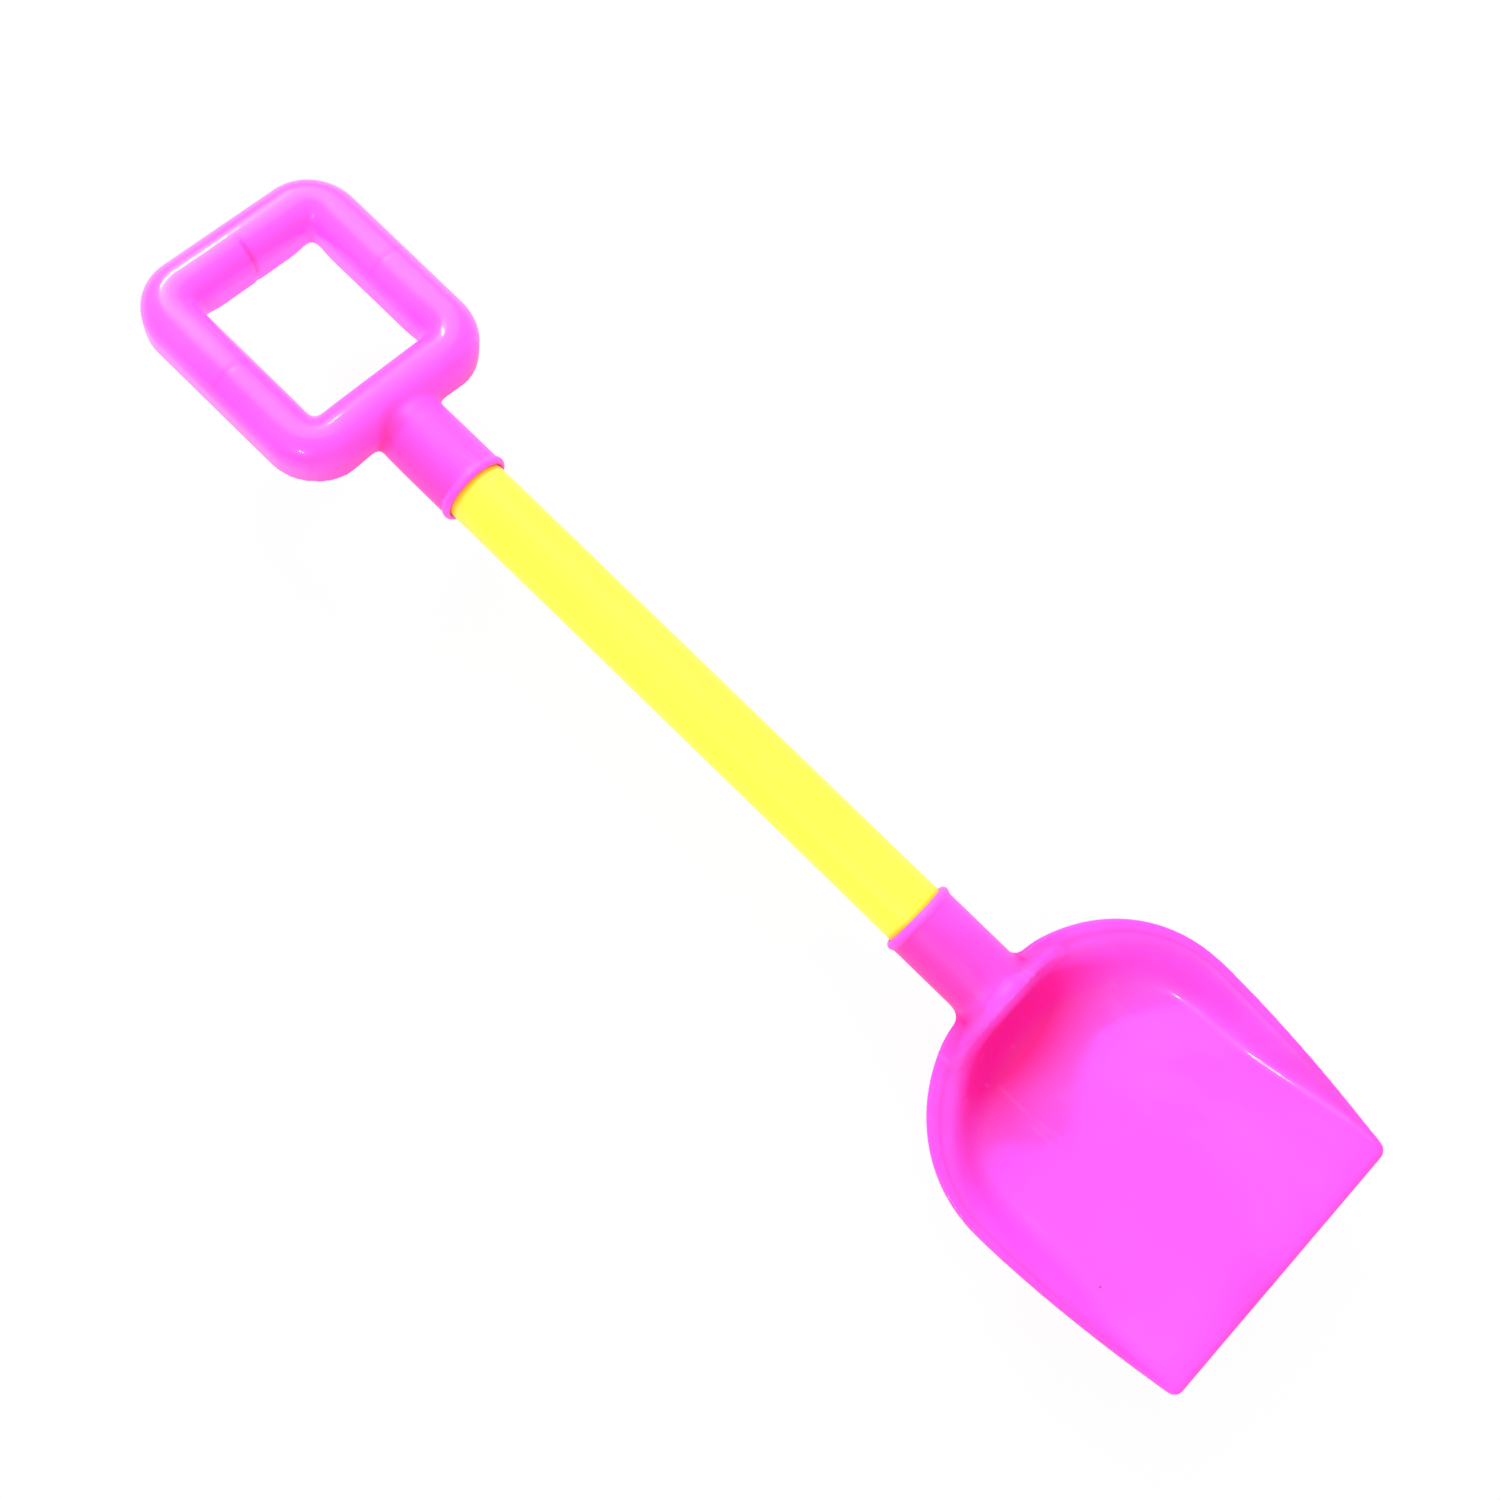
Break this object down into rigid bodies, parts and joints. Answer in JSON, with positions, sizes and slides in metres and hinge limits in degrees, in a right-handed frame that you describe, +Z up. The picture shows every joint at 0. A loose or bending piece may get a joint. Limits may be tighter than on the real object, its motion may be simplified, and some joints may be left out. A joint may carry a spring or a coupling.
{
  "type": "sand shovel",
  "caption": "Child's sand shovel: a deep moulded scoop blade and a ring grip pushed onto the ends of a straight round tube, for digging and carrying sand",
  "frame": {"origin": "middle of the bottom of the shovel's box: under the tube, level with the lowest place of the blade", "axes": "+X along the tube from the grip to the blade, +Y across the blade, +Z up out of the open side of the scoop"},
  "size_m": [0.4718, 0.1156, 0.0432],
  "materials": {
    "mould": "glossy moulded pink plastic",
    "tube": "satin extruded yellow plastic"
  },
  "bodies": {
    "root": {"blade": "mould", "tube": "tube"},
    "grip": {"grip": "mould"}
  },
  "joints": [
    {"name": "grip_swivel", "type": "hinge", "parent": "root", "child": "grip", "pos_m": [-0.13155, 0, 0.02281], "axis": [1, 0, 0], "continuous": true}
  ]
}
